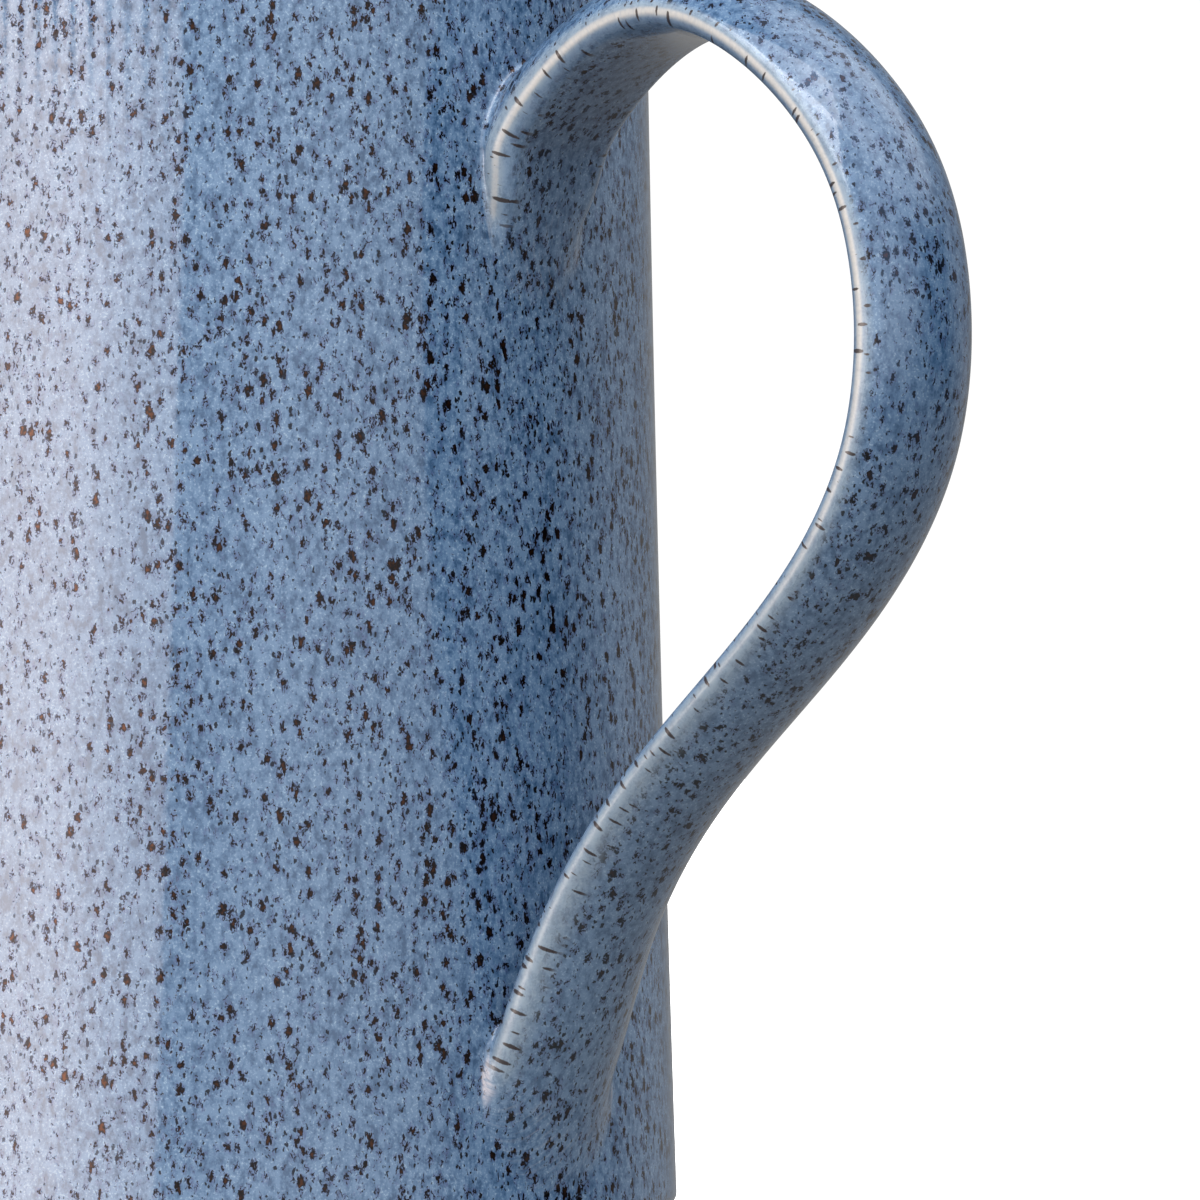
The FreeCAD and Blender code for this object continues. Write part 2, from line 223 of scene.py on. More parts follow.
def section(half, crown, palm, edge):
    """One closed cross-section: outward and sideways distances, and where each point faces.

    In degrees, 0 faces away from the mug, 90 sideways and 180 towards the mug."""
    b = half - edge
    crown_r = (crown ** 2 + b ** 2 - edge ** 2) / (2 * (crown - edge))
    palm_r = (palm ** 2 + b ** 2 - edge ** 2) / (2 * (palm - edge))
    crown_end = math.degrees(math.asin(b / (crown_r - edge)))
    palm_end = 180 - math.degrees(math.asin(b / (palm_r - edge)))
    facing = np.concatenate([
        np.linspace(-crown_end, crown_end, 34)[:-1],
        np.linspace(crown_end, palm_end, 22)[:-1],
        np.linspace(palm_end, 360 - palm_end, 26)[:-1],
        np.linspace(360 - palm_end, 360 - crown_end, 22)[:-1],
    ])
    out, side = [], []
    for f in facing:
        t = math.radians(f)
        if f <= crown_end + 1e-6:
            centre, radius = (crown - crown_r, 0), crown_r
        elif f < palm_end - 1e-6:
            centre, radius = (0, b), edge
        elif f <= 360 - palm_end + 1e-6:
            centre, radius = (palm_r - palm, 0), palm_r
        else:
            centre, radius = (0, -b), edge
        out.append(centre[0] + radius * math.cos(t))
        side.append(centre[1] + radius * math.sin(t))
    return np.array(out), np.array(side), facing


# The strap's last run bends down the wall and sinks into it, narrowing as it goes.
TAIL = 9.0
TAIL_LENGTH = 15.0
TAIL_TAPER = 0.42
TAIL_POWER = 1.3


def strap_columns(samples):
    points, tangent, along = spine(samples)
    total = along[-1]
    columns, faces = [], []
    for p, t, s in zip(points, tangent, along):
        to_upper = total - s - TAIL
        swell = 0.13 * bell(s - 6, 18) + 0.055 * bell(to_upper - 40, 22) - 0.02 * bell(s - 45, 18)
        half = HALF_WIDTH * (1 + swell)
        into_tail = min(1.0, max(0.0, (TAIL_LENGTH - (total - s)) / TAIL_LENGTH))
        half *= 1 - TAIL_TAPER * into_tail ** TAIL_POWER
        crown = CROWN * (1 + 0.42 * bell(to_upper - 4, 22) + 0.05 * bell(to_upper - 50, 25))
        palm = PALM * (1 + 0.06 * bell(to_upper - 30, 20))
        edge = EDGE * (1 + 0.5 * bell(to_upper - 4, 20) + 0.25 * bell(s - 8, 18))
        out, side, facing = section(half, crown, palm, edge)
        normal = np.array([t[1], -t[0]])
        columns.append(np.stack([
            p[0] + out * normal[0], side, p[1] + out * normal[1],
        ], axis=-1))
        faces.append(facing)
    return np.array(columns), np.array(faces), along


def on_wall(arc_length, z, lift=0.0):
    """A point on the wall from the distance round it (at that height) and the height."""
    r = wall_radius(z)
    turn = arc_length / r
    return np.stack([(r + lift) * np.cos(turn), (r + lift) * np.sin(turn), z], axis=-1)


def blend_root(columns, along, crossing, take, side, drop, pull, outward_step):
    """Fillet rows from the strap (first row) down on to the wall and under it (last row).

    Each strip leaves the strap a distance `take` before the wall and lands on the wall
    `side` further out sideways and `drop` further up, measured on the unrolled wall."""
    count = columns.shape[1]

    def at(j, s):
        return np.array([np.interp(s, along, columns[:, j, k]) for k in range(3)])

    foot = np.array([at(j, crossing[j]) for j in range(count)])
    radius = wall_radius(foot[:, 2])
    flat = np.stack([np.arctan2(foot[:, 1], foot[:, 0]) * radius, foot[:, 2]], axis=-1)
    landing = flat + np.stack([side, drop], axis=-1)
    rows = []
    for j in range(count):
        top = at(j, crossing[j] + outward_step * take[j])
        beyond = at(j, crossing[j] + outward_step * (take[j] + 0.4))
        into = (top - beyond) / np.linalg.norm(top - beyond)
        away = landing[j] - flat[j]
        reach = np.linalg.norm(away)
        away = away / reach
        end = on_wall(landing[j][0], landing[j][1], 0.01)
        inner = landing[j] - away * 0.2
        near = on_wall(inner[0], inner[1], 0.01)
        back = (near - end) / np.linalg.norm(near - end)
        column = []
        for t in np.linspace(0, 1, ROOT_ROWS):
            column.append(
                top * (1 - t) ** 3 + 3 * (top + into * pull[j] * take[j]) * t * (1 - t) ** 2
                + 3 * (end + back * pull[j] * reach) * t * t * (1 - t) + end * t ** 3
            )
        for extra, lift in ((0.3, 0.006), (0.6, -0.006), (0.9, -0.02)):
            skirt = landing[j] + away * extra
            column.append(on_wall(skirt[0], skirt[1], lift))
        inward = flat[j] * 0.55 + flat.mean(axis=0) * 0.45
        column.append(on_wall(inward[0], inward[1], -1.6))
        rows.append(column)
    return np.array(rows).transpose(1, 0, 2)


STRAP_SAMPLES = 1400
STRAP_ROWS = 230
ROOT_ROWS = 24
# rows after each fillet that run on over the wall and under it
SKIRT_ROWS = 3
# share of a fillet's rows over which the strap's own paint fades out
STRAP_PAINT_SHARE = 0.75
# where the outer edges' ridge lies round the section, in degrees
RIDGE_FACING = 84.0
FAR_AWAY = 1e3


def make_handle():
    columns, facing, along = strap_columns(STRAP_SAMPLES)
    depth = np.hypot(columns[..., 0], columns[..., 1]) - wall_radius(columns[..., 2])
    middle = len(along) // 2
    count = columns.shape[1]
    low, high = np.zeros(count), np.zeros(count)
    for j in range(count):
        inside = np.nonzero(depth[:middle, j] < 0)[0][-1]
        a, b = depth[inside, j], depth[inside + 1, j]
        low[j] = along[inside] + (along[inside + 1] - along[inside]) * a / (a - b)
        inside = middle + np.nonzero(depth[middle:, j] < 0)[0][0]
        a, b = depth[inside - 1, j], depth[inside, j]
        high[j] = along[inside - 1] + (along[inside] - along[inside - 1]) * a / (a - b)
    # how far each fillet reaches: a tight crease at the sides, a long tongue running down
    # the wall under the palm at the upper root and under the crown at the lower one
    turn = np.radians(facing[0])
    to_crown = 0.5 + 0.5 * np.cos(turn)
    to_palm = 1 - to_crown
    sideways = np.sin(turn)
    edge_share = np.clip(np.abs(columns[middle, :, 1]) / np.abs(columns[middle, :, 1]).max(), 0, 1)
    tongue = np.sqrt(np.clip(1 - (edge_share * 0.985) ** 2, 0, 1))
    lean = np.abs(sideways) ** 0.6 * np.sign(sideways)
    palm_side = 1 / (1 + np.exp(-(to_palm - 0.5) * 12))
    crown_side = 1 - palm_side
    upper_take = 0.9 + 1.2 * crown_side * tongue + 5.0 * palm_side * tongue
    upper_drop = 1.6 * crown_side * tongue - palm_side * (1.6 + 5.5 * tongue)
    upper_side = lean * (1.0 - 0.7 * palm_side * tongue)
    upper_pull = 0.62 - 0.14 * palm_side
    upper = blend_root(columns, along, high, upper_take, upper_side, upper_drop, upper_pull, -1)
    lower_take = 1.1 + 7.0 * crown_side * tongue + 0.6 * palm_side * tongue
    lower_drop = 1.2 * palm_side * tongue - crown_side * (1.5 + 4.6 * tongue)
    lower_side = lean * (1.1 - 0.4 * crown_side * tongue)
    lower_pull = 0.62 - 0.12 * crown_side
    lower = blend_root(columns, along, low, lower_take, lower_side, lower_drop, lower_pull, 1)
    start, stop = low + lower_take, high - upper_take
    body = np.zeros((STRAP_ROWS, count, 3))
    body_along = np.zeros((STRAP_ROWS, count))
    for j in range(count):
        s = np.linspace(start[j], stop[j], STRAP_ROWS)
        body_along[:, j] = s
        for k in range(3):
            body[:, j, k] = np.interp(s, along, columns[:, j, k])
    points = np.concatenate([lower[::-1], body[1:-1], upper], axis=0)
    # painting aids: distance along and round the strap, which way each strip faces,
    # distance from the nearer ridge, and nearness to a root
    total = points.shape[0]
    facing_all = np.repeat(facing[0][None], total, axis=0)
    wrapped = np.minimum(facing_all, 360 - facing_all)
    lower_rows = lower.shape[0]
    upper_rows = upper.shape[0]
    steps_between = np.linalg.norm(np.diff(points, axis=0), axis=-1)
    travelled = np.zeros((total, count))
    travelled[lower_rows:total - upper_rows] = body_along[1:-1]
    for index in range(lower_rows - 1, -1, -1):
        travelled[index] = travelled[index + 1] - steps_between[index]
    for index in range(total - upper_rows, total):
        travelled[index] = travelled[index - 1] + steps_between[index - 1]
    end = along[-1]
    around = np.zeros((total, count))
    around[:, 1:] = np.cumsum(np.linalg.norm(np.diff(points, axis=1), axis=-1), axis=1)
    girth = around[:, -1] + np.linalg.norm(points[:, 0] - points[:, -1], axis=-1)
    off = np.full((total, count), FAR_AWAY)
    for ridge in (RIDGE_FACING, 360 - RIDGE_FACING):
        column = int(np.argmin(np.abs(facing[0] - ridge)))
        gap = np.abs(around - around[:, column:column + 1])
        off = np.minimum(off, np.minimum(gap, girth[:, None] - gap))
    # on the crown side near the upper root the distance is shrunk so the pale band reaches further:
    # partly frosty glaze, partly a painted highlight
    near_top = np.clip((travelled / end - 0.74) / 0.14, 0, 1)
    near_top = near_top * near_top * (3 - 2 * near_top)
    off = np.where(wrapped < RIDGE_FACING, off * (1 - 0.55 * near_top), off)
    far_ridge = int(np.argmin(np.abs(facing[0] - RIDGE_FACING)))
    around = np.mod(around - around[:, far_ridge:far_ridge + 1], girth[:, None])
    root = np.zeros((total, count))
    for index in range(lower_rows):
        t = index / (ROOT_ROWS + SKIRT_ROWS)
        root[lower_rows - 1 - index] = math.sin(math.pi * min(1.0, t)) ** 1.5
    for index in range(upper_rows):
        t = index / (ROOT_ROWS + SKIRT_ROWS)
        root[total - upper_rows + index] = math.sin(math.pi * min(1.0, t)) ** 1.5
    on_strap = np.ones((total, count))
    for index in range(lower_rows):
        on_strap[lower_rows - 1 - index] = max(0.0, 1 - index / (ROOT_ROWS * STRAP_PAINT_SHARE))
    for index in range(upper_rows):
        on_strap[total - upper_rows + index] = max(0.0, 1 - index / (ROOT_ROWS * STRAP_PAINT_SHARE))
    attributes = {
        "facing": wrapped,
        "along": travelled,
        "around": around,
        "off": off,
        "share": np.clip(travelled / end, -0.1, 1.1),
        "root": root,
        "on_strap": on_strap,
    }
    caps = ((0, False), (total - 1, True))
    return grid_mesh("strap_handle", points, True, attributes, caps)


handle = make_handle()

# ------------------------------------------------------------------ materials


class Nodes:
    """Short names for building a material's node tree."""

    def __init__(self, name):
        self.material = bpy.data.materials.new(name)
        self.material.use_nodes = True
        self.tree = self.material.node_tree
        self.tree.nodes.clear()
        self.output = self.tree.nodes.new("ShaderNodeOutputMaterial")
        self.shader = self.tree.nodes.new("ShaderNodeBsdfPrincipled")
        self.tree.links.new(self.shader.outputs["BSDF"], self.output.inputs["Surface"])

    def put(self, socket, value):
        if isinstance(value, bpy.types.NodeSocket):
            self.tree.links.new(value, socket)
        else:
            socket.default_value = value

    def coordinates(self, scale):
        where = self.tree.nodes.new("ShaderNodeTexCoord").outputs["Object"]
        mapping = self.tree.nodes.new("ShaderNodeMapping")
        self.put(mapping.inputs["Vector"], where)
        mapping.inputs["Scale"].default_value = scale
        return mapping.outputs["Vector"]

    def attribute(self, name):
        node = self.tree.nodes.new("ShaderNodeAttribute")
        node.attribute_name = name
        return node.outputs["Fac"]

    def combine(self, x, y, z):
        node = self.tree.nodes.new("ShaderNodeCombineXYZ")
        for socket, value in zip(node.inputs, (x, y, z)):
            self.put(socket, value)
        return node.outputs[0]

    def noise(self, vector, scale, detail=2.0, rough=0.5, distortion=0.0):
        node = self.tree.nodes.new("ShaderNodeTexNoise")
        self.put(node.inputs["Vector"], vector)
        node.inputs["Scale"].default_value = scale
        node.inputs["Detail"].default_value = detail
        node.inputs["Roughness"].default_value = rough
        node.inputs["Distortion"].default_value = distortion
        return node.outputs["Fac"], node.outputs["Color"]

    def voronoi(self, vector, scale, dimensions="3D"):
        node = self.tree.nodes.new("ShaderNodeTexVoronoi")
        node.voronoi_dimensions = dimensions
        self.put(node.inputs["Vector"], vector)
        node.inputs["Scale"].default_value = scale
        return node.outputs["Distance"], node.outputs["Color"]

    def math(self, operation, a, b=0.0, clamp=False):
        node = self.tree.nodes.new("ShaderNodeMath")
        node.operation = operation
        node.use_clamp = clamp
        for socket, value in zip(node.inputs, (a, b)):
            self.put(socket, value)
        return node.outputs[0]

    def vector_math(self, operation, a, b):
        node = self.tree.nodes.new("ShaderNodeVectorMath")
        node.operation = operation
        self.put(node.inputs[0], a)
        self.put(node.inputs[1], b)
        return node.outputs[0]

    def scaled(self, vector, by):
        node = self.tree.nodes.new("ShaderNodeVectorMath")
        node.operation = "SCALE"
        self.put(node.inputs[0], vector)
        self.put(node.inputs["Scale"], by)
        return node.outputs[0]

    def band(self, value, low, high, to_low=0.0, to_high=1.0, smooth=True):
        node = self.tree.nodes.new("ShaderNodeMapRange")
        node.interpolation_type = "SMOOTHSTEP" if smooth else "LINEAR"
        sockets = ("Value", "From Min", "From Max", "To Min", "To Max")
        for key, v in zip(sockets, (value, low, high, to_low, to_high)):
            self.put(node.inputs[key], v)
        return node.outputs["Result"]

    def mix(self, share, a, b):
        node = self.tree.nodes.new("ShaderNodeMix")
        node.data_type = "RGBA"
        self.put(node.inputs["Factor"], share)
        self.put(node.inputs["A"], (*a, 1.0) if isinstance(a, tuple) else a)
        self.put(node.inputs["B"], (*b, 1.0) if isinstance(b, tuple) else b)
        return node.outputs["Result"]

    def split(self, colour):
        node = self.tree.nodes.new("ShaderNodeSeparateColor")
        self.put(node.inputs[0], colour)
        return node.outputs

    def bump(self, height, strength, distance):
        node = self.tree.nodes.new("ShaderNodeBump")
        node.inputs["Strength"].default_value = strength
        node.inputs["Distance"].default_value = distance
        self.put(node.inputs["Height"], height)
        return node.outputs["Normal"]


DEEP_BLUE = (0.022, 0.054, 0.112)
MID_BLUE = (0.055, 0.106, 0.190)
LIGHT_BLUE = (0.088, 0.150, 0.245)
FROST = (0.205, 0.285, 0.370)
FLECK_RIM = (0.006, 0.005, 0.006)
FLECK_HEART = (0.036, 0.014, 0.007)
VIOLET = (0.045, 0.066, 0.150)
CREAM = (0.40, 0.380, 0.355)
EDGE_PALE = (0.190, 0.240, 0.288)
PALM_PALE = (0.128, 0.188, 0.270)
# pale colour of the painted highlight in the lower root's crease
CREASE_HIGHLIGHT_PALE = (0.34, 0.32, 0.35)
DASH = (0.022, 0.014, 0.013)


def flecks(n, place, spacing, smallest, largest, crowd, ragged):
    """Scattered dark flecks: how deep inside a fleck each point is (negative outside)."""
    wobble = n.noise(place, 1.0 / (0.38 * MM), 1.0)[1]
    shift = n.scaled(n.vector_math("SUBTRACT", wobble, (0.5, 0.5, 0.5)), spacing * 0.8 * MM)
    distance, colour = n.voronoi(n.vector_math("ADD", place, shift), 1.0 / (spacing * MM))
    chance = n.split(colour)[0]
    size = n.band(chance, 0.1, 1.0, smallest, largest, smooth=False)
    size = n.math("MULTIPLY", size, crowd)
    return n.math("ADD", n.math("SUBTRACT", size, distance), ragged)


def product(n, *values):
    """The product of several values."""
    result = values[0]
    for value in values[1:]:
        result = n.math("MULTIPLY", result, value)
    return result


def speckled_glaze(name, strap):
    n = Nodes(name)
    upright = n.coordinates((1.0, 1.0, 0.68))
    plain = n.coordinates((1.0, 1.0, 1.0))
    # ground: blue glaze with frosty grain and darker pools
    grain = n.noise(upright, 1.0 / (0.80 * MM), 3.0, 0.60)[0]
    fine = n.noise(plain, 1.0 / (0.24 * MM), 2.0, 0.6)[0]
    pools = n.noise(upright, 1.0 / (3.6 * MM), 3.0, 0.55)[0]
    drift = n.noise(n.coordinates((1.0, 1.0, 0.35)), 1.0 / (26.0 * MM), 2.0, 0.5)[0]
    tone = n.math("ADD", n.math("MULTIPLY", grain, 0.64), n.math("MULTIPLY", pools, 0.18))
    tone = n.math("ADD", tone, n.math("MULTIPLY", fine, 0.18))
    ground = n.mix(n.band(tone, 0.38, 0.48), DEEP_BLUE, MID_BLUE)
    ground = n.mix(n.band(tone, 0.46, 0.56), ground, LIGHT_BLUE)
    frost = n.math("MULTIPLY", n.band(fine, 0.54, 0.70), n.band(tone, 0.46, 0.58), clamp=True)
    ground = n.mix(n.math("MULTIPLY", frost, 0.8), ground, FROST)
    ground = n.mix(n.band(drift, 0.35, 0.65, 0.0, 0.18), ground, DEEP_BLUE)
    # flecks of two sizes, crowded in some places, the larger ones trailing curved strokes
    tall = n.coordinates((1.0, 1.0, 0.60))
    crowd = n.band(n.noise(plain, 1.0 / (5.0 * MM), 2.0)[0], 0.35, 0.65, 0.8, 1.2)
    rough_edge = n.noise(plain, 1.0 / (0.22 * MM), 1.0)[0]
    ragged = n.math("MULTIPLY", n.math("SUBTRACT", rough_edge, 0.5), 0.44)
    inside = flecks(n, tall, 0.92, 0.0, 0.40, crowd, ragged)
    big = n.band(inside, -0.05, 0.07)
    big_heart = n.band(inside, 0.11, 0.22)
    halo = n.band(inside, -0.30, 0.0)
    small = n.band(flecks(n, tall, 0.55, 0.0, 0.34, crowd, ragged), -0.05, 0.08)
    curl = n.noise(tall, 1.0 / (0.58 * MM), 1.0, 0.5, 0.6)[0]
    strokes = n.band(n.math("ABSOLUTE", n.math("SUBTRACT", curl, 0.5)), 0.042, 0.016)
    strokes = n.math("MULTIPLY", strokes, n.band(inside, -0.27, -0.12))
    cover = n.math("MAXIMUM", big, n.math("MULTIPLY", small, 0.9))
    cover = n.math("MAXIMUM", cover, n.math("MULTIPLY", strokes, 0.95))
    rusty = n.band(n.noise(plain, 1.0 / (0.35 * MM), 1.0)[0], 0.35, 0.6)
    heart = n.math("MULTIPLY", big_heart, rusty, clamp=True)
    ground = n.mix(n.math("MULTIPLY", halo, 0.6), ground, VIOLET)
    if strap:
        facing = n.attribute("facing")
        along = n.attribute("along")
        around = n.attribute("around")
        share = n.attribute("share")
        root = n.attribute("root")
        on_strap = n.attribute("on_strap")
        # the glaze runs off the strap's outer edges: it pales towards the ridge over a few
        #         # millimetres, and the flecks there are drawn out across it. On the crown side near the
        #         # upper root the pale band reaches further, partly frosty glaze and partly a painted
        #         highlight
        off = n.attribute("off")
        near = n.math("MULTIPLY", n.band(off, 3.4, 0.9), on_strap)
        cover = n.math("MULTIPLY", cover, n.math("SUBTRACT", 1.0, n.math("MULTIPLY", near, 0.93)))
        across = n.combine(n.math("MULTIPLY", along, 1.15), n.math("MULTIPLY", around, 0.20), 0.0)
        dash_distance, dash_colour = n.voronoi(across, 1.0, dimensions="2D")
        picked = n.band(n.split(dash_colour)[0], 0.30, 0.95, 0.0, 0.26, smooth=False)
        picked = n.math("ADD", picked, n.math("MULTIPLY", ragged, 0.25))
        dashes = n.band(n.math("SUBTRACT", picked, dash_distance), -0.02, 0.05)
        dashes = n.math("MULTIPLY", dashes, n.math("MULTIPLY", n.band(off, 3.6, 2.2), on_strap))
    colour = n.mix(cover, ground, FLECK_RIM)
    colour = n.mix(n.math("MULTIPLY", heart, cover), colour, FLECK_HEART)
    if strap:
        stretched = n.combine(n.math("MULTIPLY", along, 2.4), n.math("MULTIPLY", around, 0.7), 0.0)
        streak = n.noise(stretched, 1.0, 3.0, 0.6)[0]
        wander = n.math("MULTIPLY", n.math("SUBTRACT", streak, 0.5), 1.6)
        mottle = n.math("ADD", n.math("MULTIPLY", fine, 0.5), n.math("MULTIPLY", grain, 0.5))
        mottle = n.band(mottle, 0.38, 0.58, 0.62, 1.0)
        # pale band towards the ridges; near the upper root on the crown side it also holds a painted
        # highlight
        paling = product(n, n.band(n.math("ADD", off, wander), 4.4, 0.1), on_strap, mottle)
        # the lower strap is a little paler all over, and the side towards the mug is bluer
        lower = n.math("MULTIPLY", n.band(share, 0.55, 0.35, 0.0, 0.15), on_strap)
        colour = n.mix(lower, colour, EDGE_PALE)
        edge = n.mix(n.band(facing, 92.0, 125.0), EDGE_PALE, PALM_PALE)
        colour = n.mix(paling, colour, edge)
        # a cream line where the glaze is thinnest, narrower and fainter at the upper root
        upper = n.band(share, 0.30, 0.60, 0.12, 0.9)
        slim = n.math("MULTIPLY", off, n.band(share, 0.78, 0.92, 1.0, 1.7))
        thin = product(n, n.band(slim, 0.95, 0.15), upper, on_strap)
        thin = product(n, thin, n.band(root, 0.2, 0.8, 1.0, 0.35), n.band(share, 0.86, 0.96, 1.0, 0.6))
        colour = n.mix(n.math("MULTIPLY", thin, n.band(streak, 0.30, 0.62, 0.65, 0.95)), colour, CREAM)
        # darker away from the ridges on the upper strap
        darker_middle = product(n, n.band(off, 3.8, 6.0), on_strap, n.band(share, 0.38, 0.55, 0.0, 0.30))
        colour = n.mix(darker_middle, colour, DEEP_BLUE)
        # a painted highlight: a pale line in the crease at the lower root, beside the ridge
        crease_highlight = product(n, n.band(root, 0.55, 0.95), n.band(off, 2.6, 1.0), n.band(share, 0.20, 0.08))
        colour = n.mix(n.math("MULTIPLY", crease_highlight, n.band(streak, 0.35, 0.6, 0.2, 0.9)), colour, CREASE_HIGHLIGHT_PALE)
        colour = n.mix(n.math("MULTIPLY", dashes, 0.95), colour, DASH)
        # fine runs of glaze down the fillets
        runs = n.combine(n.math("MULTIPLY", along, 0.35), n.math("MULTIPLY", around, 2.2), 3.0)
        lines = n.noise(runs, 1.0, 3.0, 0.65)[0]
        colour = n.mix(n.math("MULTIPLY", root, n.band(lines, 0.50, 0.70, 0.0, 0.15)), colour, CREAM)
        colour = n.mix(n.math("MULTIPLY", root, n.band(lines, 0.46, 0.34, 0.0, 0.45)), colour, DEEP_BLUE)
    n.put(n.shader.inputs["Base Color"], colour)
    rough = n.band(n.noise(plain, 1.0 / (1.4 * MM), 2.0)[0], 0.3, 0.7, 0.045, 0.095)
    rough = n.math("ADD", rough, n.math("MULTIPLY", cover, 0.03))
    if strap:
        rough = n.math("ADD", rough, n.math("MULTIPLY", near, 0.24))
    n.put(n.shader.inputs["Metallic"], n.math("MULTIPLY", cover, 0.8))
    n.put(n.shader.inputs["Roughness"], rough)
    n.shader.inputs["IOR"].default_value = 1.5
    swell = n.noise(plain, 1.0 / (1.6 * MM), 2.0, 0.55)[0]
    height = n.math("ADD", swell, n.math("MULTIPLY", cover, -0.5))
    height = n.math("ADD", height, n.math("MULTIPLY", fine, 0.2))
    n.put(n.shader.inputs["Normal"], n.bump(height, 0.13, 0.05 * MM))
    return n.material


def bare_clay():
    n = Nodes("bare_stoneware")
    place = n.coordinates((1.0, 1.0, 1.0))
    grain = n.noise(place, 1.0 / (0.35 * MM), 3.0, 0.65)[0]
    wide = n.noise(place, 1.0 / (7.0 * MM), 3.0)[0]
    colour = n.mix(n.band(grain, 0.35, 0.65), (0.42, 0.31, 0.21), (0.60, 0.48, 0.35))
    colour = n.mix(n.band(wide, 0.35, 0.7, 0.0, 0.35), colour, (0.50, 0.36, 0.24))
    distance, tint = n.voronoi(place, 1.0 / (1.1 * MM))
    size = n.band(n.split(tint)[0], 0.7, 1.0, 0.0, 0.22, smooth=False)
    spots = n.band(n.math("SUBTRACT", size, distance), -0.01, 0.03)
    colour = n.mix(spots, colour, (0.10, 0.06, 0.04))
    n.put(n.shader.inputs["Base Color"], colour)
    n.put(n.shader.inputs["Roughness"], n.band(grain, 0.3, 0.7, 0.68, 0.9))
    rings = n.noise(n.coordinates((0.02, 0.02, 1.0)), 1.0 / (0.4 * MM), 2.0)[0]
    height = n.math("ADD", grain, n.math("MULTIPLY", rings, 0.4))
    n.put(n.shader.inputs["Normal"], n.bump(height, 0.5, 0.06 * MM))
    return n.material


wall_glaze = speckled_glaze("speckled_wall_glaze", False)
strap_glaze = speckled_glaze("speckled_strap_glaze", True)
clay = bare_clay()

exterior.data.materials.append(wall_glaze)
interior.data.materials.append(wall_glaze)
handle.data.materials.append(strap_glaze)
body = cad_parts["body"]
body.data.materials.clear()
body.data.materials.append(clay)

for piece in (exterior, interior, handle):
    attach(piece, "root")
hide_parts("exterior_glaze")
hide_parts("interior_glaze")
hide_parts("handle", "handle_glaze", "upper_slip_joint", "lower_slip_joint")

# ------------------------------------------------------------------ floor, light and camera
VIEW_AZIMUTH = math.radians(43.0)
TOWARDS = Vector((math.sin(VIEW_AZIMUTH), -math.cos(VIEW_AZIMUTH), 0))
RIGHT = Vector((math.cos(VIEW_AZIMUTH), math.sin(VIEW_AZIMUTH), 0))
EYE_HEIGHT = 62.8 * MM
EYE_DISTANCE = 1.2
AIM_RIGHT = 36.35 * MM
FRAME_WIDTH = 0.12
SENSOR = 36.0


def make_floor():
    """A round pale floor that stays level out to its edge."""
    rings = np.linspace(0.0, 1.0, 25) ** 1.5 * 3.0
    angle = np.linspace(0, 2 * math.pi, 96, endpoint=False)
    points = np.stack([
        (rings[:, None] + 1e-5) * np.cos(angle) / MM,
        (rings[:, None] + 1e-5) * np.sin(angle) / MM,
        np.zeros((len(rings), len(angle))) - 0.02,
    ], axis=-1)
    floor = weld(grid_mesh("pale_floor", points, True))
    n = Nodes("pale_floor")
    place = n.coordinates((1.0, 1.0, 1.0))
    tone = n.noise(place, 3.0, 2.0)[0]
    n.put(n.shader.inputs["Base Color"], n.mix(tone, (0.90, 0.90, 0.90), (0.94, 0.94, 0.94)))
    n.shader.inputs["Roughness"].default_value = 0.9
    n.shader.inputs["Specular IOR Level"].default_value = 0.1
    n.shader.inputs["Emission Color"].default_value = (1.0, 1.0, 1.0, 1.0)
    n.shader.inputs["Emission Strength"].default_value = 0.72
    floor.data.materials.append(n.material)
    floor.visible_diffuse = False
    floor.visible_glossy = False


def area_light(name, place, aim, width, height, radiance, colour=(1.0, 1.0, 1.0)):
    light = bpy.data.lights.new(name, "AREA")
    light.shape = "RECTANGLE"
    light.size = width
    light.size_y = height
    light.energy = radiance * math.pi * width * height
    light.color = colour
    obj = bpy.data.objects.new(name, light)
    obj.location = place
    obj.rotation_mode = "QUATERNION"
    obj.rotation_quaternion = (Vector(place) - Vector(aim)).to_track_quat("Z", "Y")
    obj.visible_camera = False
    bpy.context.scene.collection.objects.link(obj)
    return obj


# Brightness of the softbox's strips, from the camera's side outwards: chosen by trial
# against the photo's highlight.
STRIP_RADIANCE = (3.8, 4.5, 5.6, 6.9, 8.2, 9.3, 9.8, 10.0, 10.0, 9.8, 9.2, 8.4)
STRIP_EDGE = -17.3
STRIP_PITCH = -5.2
STRIP_LEAN = math.radians(38.0)
STRIP_DISTANCE = 1.1
STRIP_LENGTH = 0.38
STRIP_TINT = (1.0, 0.88, 0.82)


def strip_light(index, radiance):
    """One leaning strip of the tall graded softbox at the camera's left."""
    azimuth = STRIP_EDGE + STRIP_PITCH * (index + 0.5)
    outward = direction(azimuth)
    ahead = direction(azimuth + 90.0)
    long_side = Vector((0, 0, 1)) * math.cos(STRIP_LEAN) + ahead * math.sin(STRIP_LEAN)
    long_side.normalize()
    pitch = 2 * STRIP_DISTANCE * math.tan(math.radians(abs(STRIP_PITCH) / 2))
    light = area_light(
        "softbox_strip_%d" % index, MIDDLE + outward * STRIP_DISTANCE, MIDDLE,
        pitch * math.cos(STRIP_LEAN), STRIP_LENGTH, radiance, STRIP_TINT,
    )
    turn = Matrix((long_side.cross(outward), long_side, outward)).transposed()
    light.rotation_quaternion = turn.to_quaternion()


def direction(degrees, up=0.0):
    """Unit direction from the mug, measured from the camera towards the right."""
    a, e = math.radians(degrees), math.radians(up)
    flat = TOWARDS * math.cos(a) + RIGHT * math.sin(a)
    return flat * math.cos(e) + Vector((0, 0, 1)) * math.sin(e)


